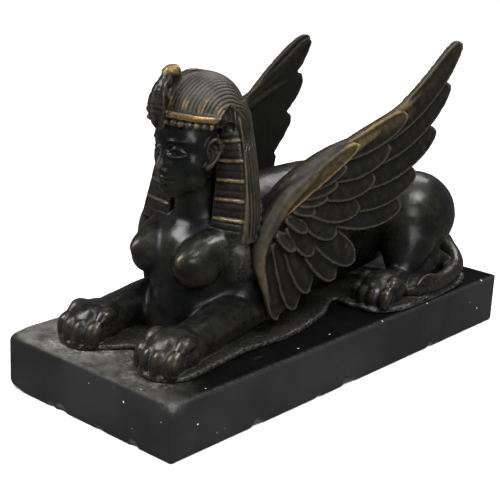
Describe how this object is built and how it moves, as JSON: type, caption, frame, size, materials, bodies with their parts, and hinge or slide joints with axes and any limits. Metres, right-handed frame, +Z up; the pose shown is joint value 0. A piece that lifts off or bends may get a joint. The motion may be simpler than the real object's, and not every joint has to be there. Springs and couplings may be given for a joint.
{
  "type": "sphinx statue",
  "caption": "Winged sphinx lying on a flat stone slab: a head in a striped cloth, a lion's body, raised feathered wings and a curled tail. A small cast figure for a shelf or desk.",
  "frame": {"origin": "centre of the slab's underside, on the surface that the statue stands on", "axes": "+Z is up. The sphinx looks along -Y, so +Y runs along the slab's length towards the tail. +X is to the sphinx's left, across the slab."},
  "size_m": [0.103, 0.24, 0.1493],
  "materials": {
    "bronze": "cast bronze with a nearly black patina, waxed, rubbed to brown and gold on the high points",
    "slate": "honed black slate, dull, with small chips on its lower edges"
  },
  "bodies": {
    "root": {"sphinx": "bronze", "slate_slab": "slate"}
  },
  "joints": []
}
